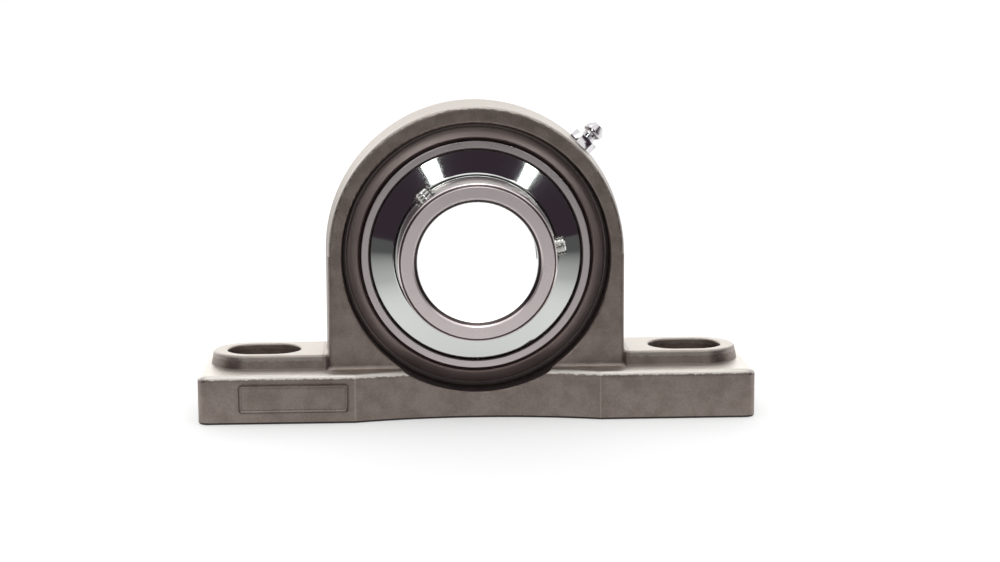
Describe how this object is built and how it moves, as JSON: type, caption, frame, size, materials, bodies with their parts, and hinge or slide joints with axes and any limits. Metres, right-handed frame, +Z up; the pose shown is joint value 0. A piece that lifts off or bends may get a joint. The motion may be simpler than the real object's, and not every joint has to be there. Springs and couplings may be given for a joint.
{
  "type": "pillow block bearing",
  "caption": "Self-aligning pillow block bearing: cast housing with slotted feet, grease nipple and a set screw ball bearing insert in a spherical seat.",
  "frame": {"origin": "underside of the base, straight below the middle of the spherical seat", "axes": "+X along the base, +Y along the shaft towards the rear (the set screw side faces -Y), +Z up"},
  "size_m": [0.164, 0.0474, 0.093],
  "materials": {
    "cast_housing": "blasted casting, matt",
    "nipple_steel": "bright",
    "ball_steel": "polished",
    "spring_steel": "drawn wire",
    "ring_steel": "ground",
    "seal_steel": "pressed sheet",
    "seal_rubber": "moulded",
    "flinger_steel": "mirror bright pressing",
    "screw_steel": "bright",
    "cage_steel": "pressed sheet"
  },
  "bodies": {
    "housing": {"housing": "cast_housing", "grease_nipple": "nipple_steel", "nipple_spring": "spring_steel"},
    "nipple_ball": {"nipple_ball": "ball_steel"},
    "outer_ring": {"outer_ring": "ring_steel", "front_seal_plate": "seal_steel", "front_seal_lip": "seal_rubber", "rear_seal_plate": "seal_steel", "rear_seal_lip": "seal_rubber"},
    "inner_ring": {"inner_ring": "ring_steel", "front_flinger": "flinger_steel", "rear_flinger": "flinger_steel"},
    "set_screw_1": {"set_screw_1": "screw_steel"},
    "set_screw_2": {"set_screw_2": "screw_steel"},
    "cage": {"cage_front": "cage_steel", "cage_rear": "cage_steel", "cage_rivets": "cage_steel"},
    "ball_1": {"ball_1": "ball_steel"},
    "ball_2": {"ball_2": "ball_steel"},
    "ball_3": {"ball_3": "ball_steel"},
    "ball_4": {"ball_4": "ball_steel"},
    "ball_5": {"ball_5": "ball_steel"},
    "ball_6": {"ball_6": "ball_steel"},
    "ball_7": {"ball_7": "ball_steel"},
    "ball_8": {"ball_8": "ball_steel"},
    "ball_9": {"ball_9": "ball_steel"}
  },
  "joints": [
    {"name": "nipple_ball_travel", "type": "slide", "parent": "housing", "child": "nipple_ball", "axis": [-0.7071, 0, -0.7071], "range_m": [0, 0.0008], "stiffness_N_per_m": 100, "springref_m": -0.001, "deforming": ["nipple_spring"]},
    {"name": "insert_tilt", "type": "hinge", "parent": "housing", "child": "outer_ring", "pos_m": [0, 0, 0.0476], "axis": [1, 0, 0], "range_deg": [-3, 3]},
    {"name": "inner_ring_spin", "type": "hinge", "parent": "outer_ring", "child": "inner_ring", "pos_m": [0, 0, 0.0476], "axis": [0, 1, 0], "continuous": true},
    {"name": "cage_spin", "type": "hinge", "parent": "outer_ring", "child": "cage", "pos_m": [0, 0, 0.0476], "axis": [0, 1, 0], "continuous": true},
    {"name": "set_screw_1_travel", "type": "slide", "parent": "inner_ring", "child": "set_screw_1", "axis": [-0.6293, 0, 0.7771], "range_m": [-0.0006, 0.004]},
    {"name": "set_screw_2_travel", "type": "slide", "parent": "inner_ring", "child": "set_screw_2", "axis": [0.9877, 0, 0.1564], "range_m": [-0.0006, 0.004]},
    {"name": "ball_1_spin", "type": "hinge", "parent": "cage", "child": "ball_1", "pos_m": [0, 0, 0.07435], "axis": [0, 1, 0], "continuous": true},
    {"name": "ball_2_spin", "type": "hinge", "parent": "cage", "child": "ball_2", "pos_m": [-0.01719, 0, 0.06809], "axis": [0, 1, 0], "continuous": true},
    {"name": "ball_3_spin", "type": "hinge", "parent": "cage", "child": "ball_3", "pos_m": [-0.02634, 0, 0.05225], "axis": [0, 1, 0], "continuous": true},
    {"name": "ball_4_spin", "type": "hinge", "parent": "cage", "child": "ball_4", "pos_m": [-0.02317, 0, 0.03422], "axis": [0, 1, 0], "continuous": true},
    {"name": "ball_5_spin", "type": "hinge", "parent": "cage", "child": "ball_5", "pos_m": [-0.00915, 0, 0.02246], "axis": [0, 1, 0], "continuous": true},
    {"name": "ball_6_spin", "type": "hinge", "parent": "cage", "child": "ball_6", "pos_m": [0.00915, 0, 0.02246], "axis": [0, 1, 0], "continuous": true},
    {"name": "ball_7_spin", "type": "hinge", "parent": "cage", "child": "ball_7", "pos_m": [0.02317, 0, 0.03422], "axis": [0, 1, 0], "continuous": true},
    {"name": "ball_8_spin", "type": "hinge", "parent": "cage", "child": "ball_8", "pos_m": [0.02634, 0, 0.05225], "axis": [0, 1, 0], "continuous": true},
    {"name": "ball_9_spin", "type": "hinge", "parent": "cage", "child": "ball_9", "pos_m": [0.01719, 0, 0.06809], "axis": [0, 1, 0], "continuous": true}
  ],
  "couplings": [
    {"joint": "cage_spin", "follows": "inner_ring_spin", "ratio": 0.39615},
    {"joint": "ball_1_spin", "follows": "inner_ring_spin", "ratio": -2.3035},
    {"joint": "ball_2_spin", "follows": "inner_ring_spin", "ratio": -2.3035},
    {"joint": "ball_3_spin", "follows": "inner_ring_spin", "ratio": -2.3035},
    {"joint": "ball_4_spin", "follows": "inner_ring_spin", "ratio": -2.3035},
    {"joint": "ball_5_spin", "follows": "inner_ring_spin", "ratio": -2.3035},
    {"joint": "ball_6_spin", "follows": "inner_ring_spin", "ratio": -2.3035},
    {"joint": "ball_7_spin", "follows": "inner_ring_spin", "ratio": -2.3035},
    {"joint": "ball_8_spin", "follows": "inner_ring_spin", "ratio": -2.3035},
    {"joint": "ball_9_spin", "follows": "inner_ring_spin", "ratio": -2.3035}
  ]
}
